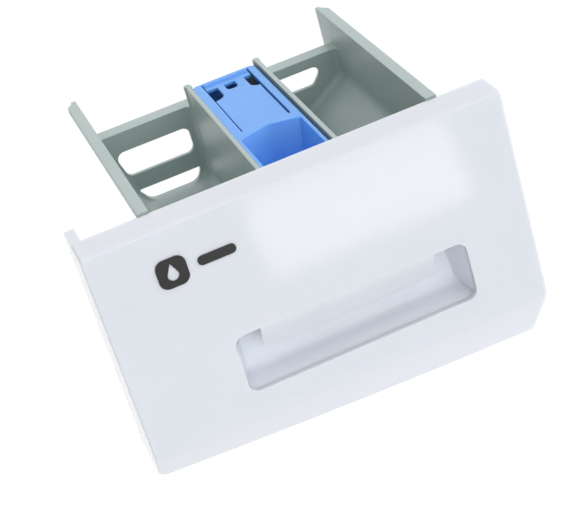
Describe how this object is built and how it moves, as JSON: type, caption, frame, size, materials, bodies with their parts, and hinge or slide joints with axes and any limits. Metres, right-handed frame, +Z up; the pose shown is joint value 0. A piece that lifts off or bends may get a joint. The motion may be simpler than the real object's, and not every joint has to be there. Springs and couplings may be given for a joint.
{
  "type": "washing machine detergent drawer",
  "caption": "Slide-out detergent drawer of a front-loading washer: white fascia with a finger pocket, open grey tray with bays, and a lift-out blue softener cap with a press tongue.",
  "frame": {"origin": "middle of the assembly's footprint at the fascia's lowest edge", "axes": "+X to the right along the fascia, +Y rearwards into the machine, +Z up; the drawer pulls out along -Y"},
  "size_m": [0.2, 0.1646, 0.1416],
  "materials": {
    "fascia": "glossy white ABS",
    "cup": "satin white ABS",
    "tray": "satin grey polypropylene",
    "cap": "satin blue polypropylene",
    "tongue": "satin blue polypropylene",
    "screw": "zinc-plated steel",
    "badge": "dark printed inlay"
  },
  "bodies": {
    "drawer": {"front_panel": "fascia", "handle_cup": "cup", "tray": "tray", "panel_screws": "screw", "emblem": "badge"},
    "cap": {"softener_cap": "cap"},
    "tongue": {"release_tongue": "tongue"}
  },
  "joints": [
    {"name": "cap_lift", "type": "slide", "parent": "drawer", "child": "cap", "axis": [0, 0, 1], "range_m": [0, 0.06]},
    {"name": "tongue_flex", "type": "hinge", "parent": "cap", "child": "tongue", "pos_m": [0.00755, -0.01087, 0.13505], "axis": [-1, 0, 0], "range_deg": [0, 4], "stiffness_Nm_per_rad": 4}
  ]
}
